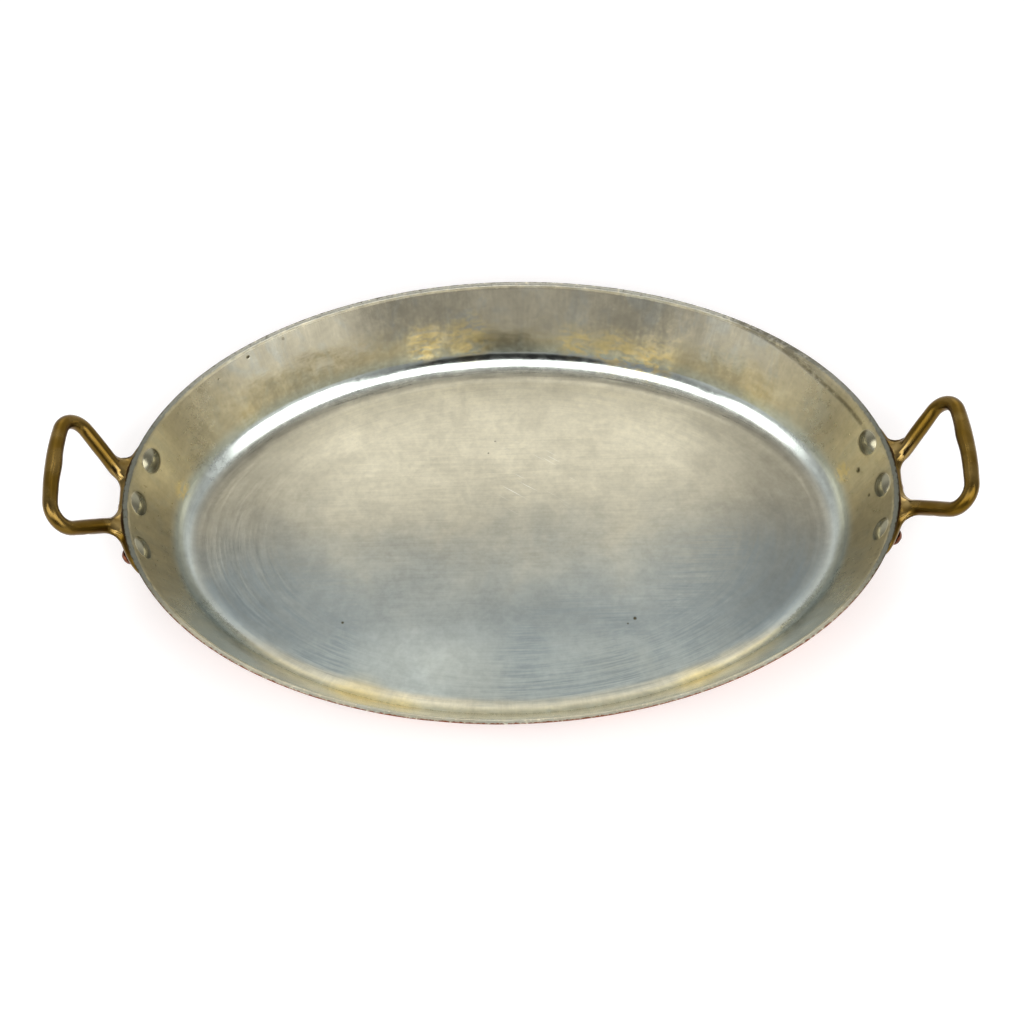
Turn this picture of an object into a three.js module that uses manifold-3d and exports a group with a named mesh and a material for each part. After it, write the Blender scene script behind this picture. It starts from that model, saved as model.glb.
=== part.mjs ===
// An oval au gratin pan: a flared copper body wiped with tin inside and over its lip, and at each end
// a cast brass loop handle held to the wall by three copper rivets. Millimetres, +Z up, +X along the
// pan. The origin is the centre of the base, on the surface that the pan stands on.
import * as THREE from "three";
import { mergeVertices } from "three/addons/utils/BufferGeometryUtils.js";
import Module from "manifold-3d";

// Pan body. The lip is an ellipse, and every level below it is the same distance in all round.
const rimLength = 413;
const rimWidth = 279;
const panHeight = 48;
const flareAngle = 29; // wall's lean from upright, in degrees
const copperGauge = 2;
const tinGauge = 0.3;
const cornerRadius = 18; // floor to wall, on the tin

// Rivets. Their heads lie under the tin inside the pan, and are hammered round outside.
const rivetDrop = 9.2; // lip to rivet centre, on the outside
const rivetInset = 16.8; // flange tip to end rivet, along the wall
const shankDiameter = 5;
const headDiameter = 13.4;
const headHeight = 1.7;
const setHeadDiameter = 9.6; // the hammered end, on the brass
const setHeadHeight = 3.8;

// Handle flange, measured from its centre along the wall and up its slope.
const flangeLength = 91;
const flangeThickness = 5.8;
const flangeEndThickness = 2.2;
const flangeEndHeight = 2.4;
const flangeRise = 9.4; // rivet line to top edge
const flangeFall = 9.6; // rivet line to bottom edge
const earLength = 22; // the stretch at each end over which the flange narrows
const rootThickness = 4; // extra metal where a leg leaves the flange
const rootLength = 8.5;
const legFlare = 1.1; // extra radius of a leg there
const legFlareLength = 5;

// Handle loop.
const handleReach = 28.4; // lip to the corner of the grip's centre line, outwards
const handleRise = 27.6; // the same, upwards
const gripSpan = 77; // corner to corner of the centre line, before the bends are rounded
const gripBow = 4.6; // how far out its two halves would meet, before they round into one bow
const gripDiameter = 8.6; // at its middle
const legDiameter = 7.5;
const legSpan = 32.2; // between the legs' centre lines as they pass the lip
const legStandOff = 6.6; // wall to a leg's centre line as it passes the lip
const legFootDrop = 16; // lip to the foot of a leg, where it fades into the flange
const legFootDiameter = 4;
const gripBendRadius = 11;
const legBendRadius = 9;

// Clearances.
const seatGap = 0.3; // flange to wall, and rivet heads to what they clamp
const shankGap = 0.2;
const tinGap = 0.1; // copper to the tin wiped over it

// Facets.
const ovalSteps = 96;
const cornerSteps = 5;
const rivetSides = 16;
const domeSteps = 3;
const flangeSteps = 32;
const flangeArcSteps = 8;
const flangeRounding = 0.45; // 1 for a round section, towards 0 for a square one
const legSides = 12;
const bendStep = 15; // degrees
const loopStep = 7; // along the handle
const walkSteps = 60; // along the wall, to find a place on it
const weld = 1e-4; // points closer than this are one

const wasm = await Module();
wasm.setup();

const flare = THREE.MathUtils.degToRad(flareAngle);
const tinBack = copperGauge + tinGap;
const wallGauge = tinBack + tinGauge;
const up = new THREE.Vector3(0, 0, 1);

// Solids

// A closed body skinned over rings of equal count, with a fan closing each end.
function loft(rings) {
  const count = rings[0].length;
  const points = rings.flat();
  const index = [];
  for (let r = 0; r + 1 < rings.length; r++) {
    for (let i = 0; i < count; i++) {
      const here = r * count + i;
      const next = r * count + ((i + 1) % count);
      index.push(here, next, next + count, here, next + count, here + count);
    }
  }
  for (const ring of [rings[0], rings.at(-1)]) {
    const first = ring === rings[0];
    const start = first ? 0 : (rings.length - 1) * count;
    const middle = ring.reduce((sum, p) => sum.add(p), new THREE.Vector3()).divideScalar(count);
    for (let i = 0; i < count; i++) {
      const here = start + i;
      const next = start + ((i + 1) % count);
      index.push(...(first ? [next, here, points.length] : [here, next, points.length]));
    }
    points.push(middle);
  }
  const geometry = new THREE.BufferGeometry().setFromPoints(points);
  geometry.setIndex(index);
  return geometry;
}

// The manifold solid of a closed geometry, turned the right way out.
function solidOf(geometry, matrix = new THREE.Matrix4()) {
  const bare = geometry.clone().applyMatrix4(matrix);
  bare.deleteAttribute("normal");
  bare.deleteAttribute("uv");
  const merged = mergeVertices(bare, weld);
  const corners = merged.index.array;
  const kept = [];
  for (let i = 0; i < corners.length; i += 3) {
    const [a, b, c] = corners.slice(i, i + 3);
    if (a !== b && b !== c && c !== a) kept.push(a, b, c);
  }
  const build = (triVerts) =>
    new wasm.Manifold(
      new wasm.Mesh({
        numProp: 3,
        vertProperties: new Float32Array(merged.attributes.position.array),
        triVerts: new Uint32Array(triVerts),
      }),
    );
  const solid = build(kept);
  return solid.volume() < 0 ? build(kept.reverse()) : solid;
}

function geometryOf(solid) {
  const { numProp, numVert, vertProperties, triVerts } = solid.getMesh();
  const positions = new Float32Array(numVert * 3);
  for (let i = 0; i < numVert; i++) {
    positions.set(vertProperties.subarray(i * numProp, i * numProp + 3), i * 3);
  }
  const geometry = new THREE.BufferGeometry();
  geometry.setAttribute("position", new THREE.BufferAttribute(positions, 3));
  geometry.setIndex([...triVerts]);
  geometry.computeVertexNormals();
  return geometry;
}

// A solid turned about +Y from a profile of [radius, height] pairs that starts and ends on the axis.
function turned(profile) {
  return new THREE.LatheGeometry(profile.map(([r, y]) => new THREE.Vector2(r, y)), rivetSides);
}

// The [radius, height] pairs of a ball's cap that rises from the given level, rim first.
function dome(diameter, height, level) {
  const ball = ((diameter / 2) ** 2 + height ** 2) / (2 * height);
  const rim = Math.acos((ball - height) / ball);
  return Array.from({ length: domeSteps + 1 }, (_, i) => {
    const a = rim * (1 - i / domeSteps);
    return [ball * Math.sin(a), level + height - ball * (1 - Math.cos(a))];
  });
}

// The wall

// A point on the lip's ellipse and the way outwards there, at an angle round the pan.
function lipAt(angle) {
  const a = rimLength / 2;
  const b = rimWidth / 2;
  return {
    point: new THREE.Vector3(a * Math.cos(angle), b * Math.sin(angle), 0),
    outwards: new THREE.Vector3(b * Math.cos(angle), a * Math.sin(angle), 0).normalize(),
  };
}

// How far in from the lip the wall lies at a height, at a depth under the copper's outer face.
function inset(height, depth) {
  return (depth + (panHeight - height) * Math.sin(flare)) / Math.cos(flare);
}

function ovalRing(offset, height) {
  return Array.from({ length: ovalSteps }, (_, i) => {
    const { point, outwards } = lipAt((i / ovalSteps) * 2 * Math.PI);
    return point.addScaledVector(outwards, -offset).setZ(height);
  });
}

// The rings of the wall and corner at a depth under the outer face, from the floor's edge up to a height.
function wallRings(depth, top) {
  const centreHeight = wallGauge + cornerRadius;
  const centreInset = inset(centreHeight, wallGauge + cornerRadius);
  const radius = wallGauge + cornerRadius - depth;
  const rings = [];
  for (let i = 0; i <= cornerSteps; i++) {
    const turn = Math.PI / 2 + (i / cornerSteps) * (flare - Math.PI / 2);
    rings.push(ovalRing(centreInset - radius * Math.cos(turn), centreHeight - radius * Math.sin(turn)));
  }
  rings.push(ovalRing(inset(top, depth), top));
  return rings;
}

// The angle round the pan at which the wall's outer face, at a height, is this far along from the end.
function angleAlong(distance, height) {
  const b = rimWidth / 2;
  let angle = 0;
  for (let i = 0; i < walkSteps; i++) {
    const speed = Math.hypot((rimLength / 2) * Math.sin(angle), b * Math.cos(angle));
    const bend = ((rimLength / 2) * b) / speed ** 3;
    angle += distance / walkSteps / (speed * (1 - inset(height, 0) * bend));
  }
  return angle;
}

// The wall's outer face at a distance along from the +X end, with its own directions.
function wallFrame(distance, height) {
  const { point, outwards } = lipAt(angleAlong(distance, height));
  return {
    point: point.addScaledVector(outwards, -inset(height, 0)).setZ(height),
    normal: outwards.clone().multiplyScalar(Math.cos(flare)).addScaledVector(up, -Math.sin(flare)),
    slope: outwards.clone().multiplyScalar(Math.sin(flare)).addScaledVector(up, Math.cos(flare)),
  };
}

// Rivets

const rivetHeight = panHeight - rivetDrop;
const flangeFace = seatGap + flangeThickness;
const rivetSpacing = flangeLength / 2 - rivetInset;
const rivetPlaces = [-rivetSpacing, 0, rivetSpacing];

// Places a solid turned about +Y square to the wall, with y = 0 on its outer face.
function squareToWall(distance) {
  const { point, normal } = wallFrame(distance, rivetHeight);
  const turn = new THREE.Quaternion().setFromUnitVectors(new THREE.Vector3(0, 1, 0), normal);
  return new THREE.Matrix4().compose(point, turn, new THREE.Vector3(1, 1, 1));
}

// How far the wall turns away from a disc of this diameter laid flat on it at the pan's end.
function wallFall(diameter, depth) {
  const endRadius = (rimWidth / 2) ** 2 / (rimLength / 2) - inset(rivetHeight, depth);
  return (Math.cos(flare) * (diameter / 2) ** 2) / (2 * endRadius);
}

const headSeat = -copperGauge - wallFall(headDiameter, wallGauge) - seatGap;
const setHeadSeat = flangeFace + seatGap;

// A dome on the pan's side of the wall, from its tip to its rim.
function innerDome(diameter, height) {
  return dome(diameter, height, -headSeat).map(([r, y]) => [r, -y]).reverse();
}

const rivetProfile = [
  ...innerDome(headDiameter, headHeight),
  [shankDiameter / 2, headSeat],
  [shankDiameter / 2, setHeadSeat],
  ...dome(setHeadDiameter, setHeadHeight, setHeadSeat),
];

const tinOverHead = [
  ...innerDome(headDiameter + 2 * (tinGap + tinGauge), headHeight + tinGap + tinGauge),
  [headDiameter / 2 + tinGap + tinGauge, 0],
  [0, 0],
];

const headPocket = [
  ...innerDome(headDiameter + 2 * tinGap, headHeight + tinGap),
  [headDiameter / 2 + tinGap, 0],
  [0, 0],
];

const rivetHole = [
  [0, headSeat - wallGauge],
  [shankDiameter / 2 + shankGap, headSeat - wallGauge],
  [shankDiameter / 2 + shankGap, setHeadSeat + flangeThickness],
  [0, setHeadSeat + flangeThickness],
];

// The hole through the flange, widened above its face so that the hammered end sits flat.
const seatFloor = flangeFace + seatGap / 3;
const seatRadius = setHeadDiameter / 2 + seatGap;
const seatTop = setHeadSeat + setHeadHeight + rootThickness;
const flangeHole = [
  ...rivetHole.slice(0, 2),
  [shankDiameter / 2 + shankGap, seatFloor],
  [seatRadius, seatFloor],
  [seatRadius, seatTop],
  [0, seatTop],
];

// A solid for each rivet place at the +X end, and the same turned half round to the other end.
const halfTurn = new THREE.Matrix4().makeRotationZ(Math.PI);

function atEveryRivet(profile) {
  const atOneEnd = rivetPlaces.map((place) => solidOf(turned(profile), squareToWall(place)));
  const atOtherEnd = rivetPlaces.map((place) =>
    solidOf(turned(profile), halfTurn.clone().multiply(squareToWall(place))),
  );
  return [...atOneEnd, ...atOtherEnd];
}

// Pan body and lining

const tinLip = panHeight - tinGauge;
const copperTop = tinLip - tinGap;

function copperBody() {
  const inside = wallRings(copperGauge, copperTop);
  const outside = wallRings(0, copperTop).reverse();
  const sheet = solidOf(loft([...inside, ...outside]));
  return atEveryRivet(rivetHole).reduce((body, hole) => body.subtract(hole), sheet);
}

function tinLining() {
  const face = wallRings(wallGauge, panHeight);
  const lip = [
    ovalRing(0, panHeight),
    ovalRing(inset(tinLip, 0), tinLip),
  ];
  const back = wallRings(tinBack, tinLip).reverse();
  const skin = solidOf(loft([...face, ...lip, ...back]));
  const hollow = solidOf(loft(wallRings(tinBack + tinGauge / 2, tinLip)));
  const covered = atEveryRivet(tinOverHead).reduce(
    (body, cover) => body.add(cover.intersect(hollow)),
    skin,
  );
  return atEveryRivet(headPocket).reduce((body, pocket) => body.subtract(pocket), covered);
}

// Handle

// How much of its full size the flange has at a distance from its middle: 1, falling in the ears.
function earShare(distance) {
  const into = Math.max(0, Math.abs(distance) - (flangeLength / 2 - earLength)) / earLength;
  return Math.sqrt(Math.max(0, 1 - into ** 2));
}

// Extra thickness where a leg's root swells out of the flange.
function rootSwell(distance) {
  const from = (Math.abs(distance) - legSpan / 2) / rootLength;
  return rootThickness * Math.exp(-(from ** 2));
}

function flangeSection(distance) {
  const { point, normal, slope } = wallFrame(distance, rivetHeight);
  const share = earShare(distance);
  const thickness =
    flangeEndThickness + (flangeThickness - flangeEndThickness) * share + rootSwell(distance);
  const section = [];
  for (let i = 0; i <= flangeArcSteps; i++) {
    const a = (i / flangeArcSteps) * Math.PI;
    const across = Math.cos(a);
    const full = across > 0 ? flangeRise : flangeFall;
    const reach = flangeEndHeight / 2 + (full - flangeEndHeight / 2) * share;
    section.push({ w: reach * across, h: seatGap + thickness * Math.sin(a) ** flangeRounding });
  }
  return section.map(({ w, h }) =>
    point.clone().addScaledVector(slope, w).addScaledVector(normal, h),
  );
}

function flange() {
  const rings = [];
  for (let i = 0; i <= flangeSteps; i++) {
    rings.push(flangeSection((i / flangeSteps - 0.5) * flangeLength));
  }
  return solidOf(loft(rings));
}

// How far the path turns at a corner.
function turnAt(before, corner, after) {
  return Math.PI - before.clone().sub(corner).angleTo(after.clone().sub(corner));
}

// Points along straight runs joined by round bends.
function bentPath(corners, radii) {
  const points = [corners[0].clone()];
  const addRun = (to) => {
    const from = points.at(-1).clone();
    const length = from.distanceTo(to);
    const steps = length > weld ? Math.ceil(length / loopStep) : 0;
    for (let i = 1; i <= steps; i++) points.push(from.clone().lerp(to, i / steps));
  };
  for (let k = 1; k + 1 < corners.length; k++) {
    const back = corners[k - 1].clone().sub(corners[k]).normalize();
    const on = corners[k + 1].clone().sub(corners[k]).normalize();
    const turn = turnAt(corners[k - 1], corners[k], corners[k + 1]);
    const cut = radii[k - 1] * Math.tan(turn / 2);
    const start = corners[k].clone().addScaledVector(back, cut);
    addRun(start);
    const middle = corners[k].clone().addScaledVector(
      back.clone().add(on).normalize(),
      radii[k - 1] / Math.cos(turn / 2),
    );
    const spoke = start.clone().sub(middle);
    const axis = new THREE.Vector3().crossVectors(on, back).normalize();
    const bendSteps = THREE.MathUtils.radToDeg(turn) / bendStep;
    const steps = Math.ceil(Math.max(bendSteps, (turn * radii[k - 1]) / loopStep));
    for (let i = 1; i <= steps; i++) {
      points.push(spoke.clone().applyAxisAngle(axis, (turn * i) / steps).add(middle));
    }
  }
  addRun(corners.at(-1));
  return points;
}

// The corners of the loop's centre line on one side, foot first.
function legCorners(side) {
  const foot = wallFrame((side * legSpan) / 2, panHeight - legFootDrop);
  const pass = wallFrame((side * legSpan) / 2, panHeight);
  return [
    foot.point.addScaledVector(foot.normal, flangeFace - legFootDiameter / 2),
    pass.point.addScaledVector(pass.normal, legStandOff),
    new THREE.Vector3(rimLength / 2 + handleReach, (side * gripSpan) / 2, panHeight + handleRise),
  ];
}

function loop() {
  const [nearFoot, nearPass, nearCorner] = legCorners(-1);
  const [farFoot, farPass, farCorner] = legCorners(1);
  const rise = nearCorner.clone().sub(nearPass).setY(0).normalize();
  const middle = nearCorner.clone().setY(0).addScaledVector(rise, gripBow);
  const bendRun = gripBendRadius * Math.tan(turnAt(nearPass, nearCorner, middle) / 2);
  const bowRun = nearCorner.distanceTo(middle) - bendRun;
  const bowRadius = bowRun / Math.tan(turnAt(nearCorner, middle, farCorner) / 2);
  const points = bentPath(
    [nearFoot, nearPass, nearCorner, middle, farCorner, farPass, farFoot],
    [legBendRadius, gripBendRadius, bowRadius, gripBendRadius, legBendRadius],
  );
  const square = new THREE.Vector3().crossVectors(rise, new THREE.Vector3(0, 1, 0));
  const footHeight = nearFoot.z;
  const rings = points.map((centre, i) => {
    const before = points[Math.max(0, i - 1)];
    const after = points[Math.min(points.length - 1, i + 1)];
    const along = after.clone().sub(before).normalize();
    const across = new THREE.Vector3().crossVectors(along, square).normalize();
    const through = new THREE.Vector3().crossVectors(across, along);
    const foot = THREE.MathUtils.smoothstep(centre.z, footHeight, panHeight);
    const grip = THREE.MathUtils.smoothstep(centre.z, panHeight, panHeight + handleRise);
    const middleShare = grip * Math.max(0, 1 - (centre.y / nearCorner.y) ** 2);
    const fromRoot = Math.min(centre.distanceTo(nearPass), centre.distanceTo(farPass));
    const flared = legFlare * Math.exp(-((fromRoot / legFlareLength) ** 2));
    const leg = legFootDiameter + (legDiameter - legFootDiameter) * foot;
    const radius = (leg + (gripDiameter - legDiameter) * middleShare) / 2 + flared;
    return Array.from({ length: legSides }, (_, k) => {
      const a = (k / legSides) * 2 * Math.PI;
      return centre
        .clone()
        .addScaledVector(across, radius * Math.cos(a))
        .addScaledVector(through, radius * Math.sin(a));
    });
  });
  return solidOf(loft(rings));
}

function handle() {
  const panRoom = solidOf(loft(wallRings(-seatGap / 2, panHeight + seatGap)));
  const casting = flange().add(loop()).subtract(panRoom);
  return rivetPlaces
    .map((place) => solidOf(turned(flangeHole), squareToWall(place)))
    .reduce((body, hole) => body.subtract(hole), casting);
}

// Assembly

const copper = new THREE.MeshStandardMaterial({ color: 0xb8704c, roughness: 0.34, metalness: 1 });
const tin = new THREE.MeshStandardMaterial({ color: 0xa9a798, roughness: 0.36, metalness: 1 });
const brass = new THREE.MeshStandardMaterial({ color: 0x9a742c, roughness: 0.28, metalness: 1 });

function mesh(name, geometry, material) {
  const made = new THREE.Mesh(geometry, material);
  made.name = name;
  return made;
}

const pan = new THREE.Group();
pan.add(mesh("copper_body", geometryOf(copperBody()), copper));
pan.add(mesh("tin_lining", geometryOf(tinLining()), tin));

const casting = geometryOf(handle());
const rivet = turned(rivetProfile);
const rivetNames = ["front", "middle", "back"];

for (const [side, turn] of [["right", 0], ["left", Math.PI]]) {
  const end = new THREE.Group();
  end.rotation.z = turn;
  end.add(mesh(`handle_${side}`, casting, brass));
  rivetPlaces.forEach((place, i) => {
    const name = rivetNames[turn ? rivetPlaces.length - 1 - i : i];
    const made = mesh(`rivet_${side}_${name}`, rivet, copper);
    squareToWall(place).decompose(made.position, made.quaternion, made.scale);
    end.add(made);
  });
  pan.add(end);
}

export default pan;
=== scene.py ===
import math

import bmesh
import bpy
from bpy.props import FloatProperty, FloatVectorProperty, PointerProperty
from mathutils import Matrix, Quaternion, Vector, noise
from mathutils.bvhtree import BVHTree


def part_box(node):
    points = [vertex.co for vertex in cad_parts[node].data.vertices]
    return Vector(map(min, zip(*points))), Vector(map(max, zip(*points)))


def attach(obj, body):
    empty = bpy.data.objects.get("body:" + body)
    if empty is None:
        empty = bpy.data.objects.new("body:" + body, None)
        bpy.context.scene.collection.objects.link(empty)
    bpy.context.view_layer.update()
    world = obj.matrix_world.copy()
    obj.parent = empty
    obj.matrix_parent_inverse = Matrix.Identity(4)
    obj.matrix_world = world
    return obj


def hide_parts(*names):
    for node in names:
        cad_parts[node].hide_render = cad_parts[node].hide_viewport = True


bl_info = {
    "name": "Oval gratin pan",
    "version": (1, 0, 0),
    "blender": (4, 5, 0),
    "location": "View3D > Sidebar > Pan",
    "description": "Builds an old oval copper pan, wiped with tin inside, with cast brass loop handles",
    "category": "Object",
}

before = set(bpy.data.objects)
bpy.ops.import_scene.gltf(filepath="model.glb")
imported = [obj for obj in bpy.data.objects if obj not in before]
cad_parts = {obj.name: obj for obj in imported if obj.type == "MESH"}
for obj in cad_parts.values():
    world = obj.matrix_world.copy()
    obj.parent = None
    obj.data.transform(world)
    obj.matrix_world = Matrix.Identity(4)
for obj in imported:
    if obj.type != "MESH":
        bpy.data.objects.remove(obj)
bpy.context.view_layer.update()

MM = 0.001
# Points as close as this are joined
CLOSE = 0.001 * MM
UP = Vector((0, 0, 1))
HALF_TURN = Matrix.Rotation(math.pi, 4, "Z")

lining_low, lining_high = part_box("tin_lining")


# Sizes and colours that a user would change

def linear(hex_colour):
    """The linear red, green and blue of an sRGB hex colour, and full opacity."""
    channels = [int(hex_colour[i:i + 2], 16) / 255 for i in (0, 2, 4)]
    return (*(c / 12.92 if c <= 0.04045 else ((c + 0.055) / 1.055) ** 2.4 for c in channels), 1)


def length(name, description, default):
    return FloatProperty(
        name=name, description=description, default=default, min=0, unit="LENGTH", subtype="DISTANCE"
    )


def angle(name, description, degrees):
    return FloatProperty(
        name=name, description=description, default=math.radians(degrees), unit="ROTATION", subtype="ANGLE"
    )


def amount(name, description, default):
    return FloatProperty(name=name, description=description, default=default, min=0)


def colour(name, description, hex_colour):
    return FloatVectorProperty(
        name=name, description=description, default=linear(hex_colour),
        size=4, min=0, max=1, subtype="COLOR"
    )


class PanShape(bpy.types.PropertyGroup):
    """Sizes of the raised copper and of the tin wiped over it."""

    lip_length: length("Lip length", "Across the lip, handle to handle", lining_high.x - lining_low.x)
    lip_width: length("Lip width", "Across the lip, front to back", lining_high.y - lining_low.y)
    depth: length("Depth", "From what the pan stands on to the top of its lip", lining_high.z)
    flare: angle("Flare", "How far the wall leans out from upright", 29)
    copper_gauge: length("Copper gauge", "Thickness of the copper sheet", 2 * MM)
    tin_gauge: length("Tin gauge", "Thickness of the wiped tin", 0.3 * MM)
    bond: length("Bond", "Clearance between copper and tin", 0.1 * MM)
    corner: length("Corner", "Radius from floor to wall, on the tin", 18 * MM)
    lip_wear: length("Lip wear", "How far the lip's inner edge is worn round", 0.7 * MM)
    lip_rounding: length("Lip rounding", "How far the lip's outer edge is worn round", 0.75 * MM)
    waviness: length("Waviness", "How far the hammered sheet strays from true", 0.11 * MM)


class PanRivet(bpy.types.PropertyGroup):
    """Sizes of the copper rivets."""

    drop: length("Drop", "Lip to rivet centre, on the outside", 9.2 * MM)
    spacing: length("Spacing", "Rivet to rivet along the wall", 28.7 * MM)
    shank: length("Shank", "Diameter of the shank", 5 * MM)
    head: length("Head", "Diameter of the head under the tin", 13.4 * MM)
    head_height: length("Head height", "Height of the head under the tin", 1.7 * MM)
    set_head: length("Set head", "Diameter of the hammered end, on the brass", 9.6 * MM)
    set_head_height: length("Set head height", "Height of the hammered end", 3.8 * MM)


class PanHandle(bpy.types.PropertyGroup):
    """Sizes of the cast handles."""

    flange_length: length("Flange length", "Along the wall", 91 * MM)
    flange_thickness: length("Flange thickness", "At its middle", 5.8 * MM)
    flange_end: length("Flange end", "Thickness at its two tips", 2.2 * MM)
    flange_rise: length("Flange rise", "Rivet line to top edge", 9.2 * MM)
    flange_fall: length("Flange fall", "Rivet line to bottom edge", 9.4 * MM)
    seat: length("Seat", "Clearance between flange and wall", 0.3 * MM)
    reach: length("Reach", "Lip to the grip's corner, outwards", 28.4 * MM)
    rise: length("Rise", "Lip to the grip's corner, upwards", 27.3 * MM)
    grip_span: length("Grip span", "Corner to corner of the grip's centre line", 77 * MM)
    grip_bow: length("Grip bow", "How far the grip bows out between its corners", 4.6 * MM)
    grip_diameter: length("Grip diameter", "At its middle", 8.6 * MM)
    leg_diameter: length("Leg diameter", "Where a leg meets the grip", 7.6 * MM)
    root_diameter: length("Root diameter", "Of a leg as it passes the lip", 8.6 * MM)
    fillet: length("Fillet", "Radius of the hollow between leg and flange", 5.5 * MM)
    leg_span: length("Leg span", "Between the legs as they pass the lip", 30.2 * MM)
    leg_stand_off: length("Leg stand-off", "Wall to a leg as it passes the lip", 6.6 * MM)


class PanFinish(bpy.types.PropertyGroup):
    """Colours of the metals."""

    tin: colour("Tin", "Clean wiped tin", "ccd3cd")
    # Also the colour of the painted glints on the nicks of the lip
    tin_film: colour("Tin film", "Tin on the wall, yellowed by heat and fat", "d9d1b7")
    # Colour of the painted gold glints, painted reflections low on the wall, and of the faint gold on the end
    # walls
    tin_gold: colour("Tin gold", "Tin stained gold by heat, low on the wall", "f6e4ac")
    # The warmer, paler tone of the back of the floor; the same colour is the painted highlight along the foot
    # of the front wall
    tin_floor: colour("Tin floor", "Tin on the back of the floor, yellowed less", "e2dbc2")
    tin_streak: colour("Tin streak", "Blue-grey marks of the wiping rag", "788488")
    tin_lip: colour("Tin lip", "Tin dulled on the lip", "75766b")
    # Also the colour of the painted glints on the lip's bare outer edge
    tin_pale_and_glint: colour("Rubbed tin", "Tin rubbed pale on the back of the lip", "b5b3a6")
    tin_head: colour("Tin head", "Tin worn dull over the rivet heads", "8c8a77")
    tin_stain: colour("Tin stain", "Brown tide marks and pits", "4d4630")
    tin_scuff: colour("Tin scuff", "Bright scratches in the tin", "fffff9")
    copper: colour("Copper", "Bare copper", "c67f5e")
    copper_dull: colour("Dull copper", "Copper browned by heat and handling", "7d4a34")
    copper_dark: colour("Dark copper", "Copper never scoured, on the rivets", "562e1a")
    # Also the colour of the painted highlights on the up-facing roots of the handles
    brass: colour("Brass", "Brass polished by hands", "d8bd82")
    brass_film: colour("Brass film", "The olive brown film that old brass takes", "604810")
    # Dirt and rust, and the painted shade in the gap at the wall, inside the roots and round the rivets
    brass_grime_and_shade: colour("Brass grime", "Dirt and rust in the casting's hollows", "3c2a19")
    verdigris: colour("Verdigris", "Green specks where brass meets the wall", "6f7a4e")


class PanStudio(bpy.types.PropertyGroup):
    """Camera and light."""

    camera_distance: length("Camera distance", "To the middle of the pan", 1030 * MM)
    camera_height: angle("Camera height", "Above the horizon", 58)
    softbox: amount("Softbox", "Radiance of the softboxes", 2.8)
    room: amount("Room", "Radiance of the room on the camera's side", 0.36)
    sweep: amount("Sweep", "Radiance of the white sweep behind the pan", 0.9)
    table: colour("Table", "The white table top", "e8e8e8")
    table_lift: amount("Table lift", "Light added to the table top for the camera and the metal", 0.28)


# The wall, which everything is fitted to

class Wall:
    """Where the pan's wall is, at any angle round the pan, height and depth under its outer face."""

    def __init__(self):
        shape = bpy.context.scene.pan_shape
        self.a = shape.lip_length / 2
        self.b = shape.lip_width / 2
        self.top = shape.depth
        self.flare = shape.flare
        self.gauge = shape.copper_gauge + shape.bond + shape.tin_gauge
        self.corner = self.gauge + shape.corner
        self.floor_inset = self.inset(self.corner, self.corner)
        self.waviness = shape.waviness
        self.rivet_height = self.top - bpy.context.scene.pan_rivet.drop

    def inset(self, height, depth=0):
        """How far in from the lip the wall is."""
        return (depth + (self.top - height) * math.sin(self.flare)) / math.cos(self.flare)

    def outwards(self, turn):
        return Vector((self.b * math.cos(turn), self.a * math.sin(turn), 0)).normalized()

    def face(self, turn):
        """Square out of the wall's face at an angle round the pan."""
        return self.outwards(turn) * math.cos(self.flare) - UP * math.sin(self.flare)

    def place(self, turn, inset, height):
        """A point this far in from the lip: every oval down to the floor's edge keeps the same distance."""
        share = 1
        if inset > self.floor_inset:
            share = (self.b - inset) / (self.b - self.floor_inset)
            inset = self.floor_inset
        lip = Vector((self.a * math.cos(turn), self.b * math.sin(turn), 0))
        point = (lip - self.outwards(turn) * inset) * share
        point.z = height
        return point

    def turn_along(self, distance):
        """The angle round the pan at a distance along from the +X end, at the rivets' height."""
        turn = 0
        steps = 24
        inset = self.inset(self.rivet_height)
        for _ in range(steps):
            speed = math.hypot(self.a * math.sin(turn), self.b * math.cos(turn))
            bend = self.a * self.b / speed ** 3
            turn += distance / steps / (speed * (1 - inset * bend))
        return turn

    def on(self, along, rise, stand_off):
        """A point given by its distance along the wall, up its slope from the rivets and off its face."""
        turn = self.turn_along(along)
        height = self.rivet_height + rise * math.cos(self.flare)
        return self.place(turn, self.inset(height), height) + self.face(turn) * stand_off

    def normal(self, along):
        return self.face(self.turn_along(along))

    def section(self, depth, floor_rings, corner_rings, wall_rings, top):
        """Rows of inset, height and lean of the face, from the middle of the floor up the wall."""
        rows = []
        for i in range(floor_rings):
            inset = self.b + (self.floor_inset - self.b) * i / floor_rings
            rows.append((inset, depth, 0))
        radius = self.corner - depth
        steepest = math.pi / 2 - self.flare
        for i in range(corner_rings + 1):
            lean = steepest * i / corner_rings
            inset = self.floor_inset - radius * math.sin(lean)
            rows.append((inset, self.corner - radius * math.cos(lean), lean))
        foot = rows[-1][1]
        for i in range(1, wall_rings + 1):
            height = foot + (top - foot) * i / wall_rings
            rows.append((self.inset(height, depth), height, steepest))
        return rows


# Mesh work

def placed(name, work):
    """A new object in the scene from finished mesh work."""
    mesh = bpy.data.meshes.new(name)
    work.to_mesh(mesh)
    work.free()
    body = bpy.data.objects.new(name, mesh)
    bpy.context.scene.collection.objects.link(body)
    return body


def shown(name, work, finish):
    """A smooth-shaded piece of the object."""
    piece = placed(name, work)
    mesh = piece.data
    mesh.polygons.foreach_set("use_smooth", [True] * len(mesh.polygons))
    mesh.materials.append(finish)
    return piece


def whole_turn(work, line, steps):
    """Turns a line of points and edges about +Z, once round."""
    bmesh.ops.spin(
        work, geom=line, cent=(0, 0, 0), axis=UP, angle=2 * math.pi, steps=steps, use_merge=True
    )


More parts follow.
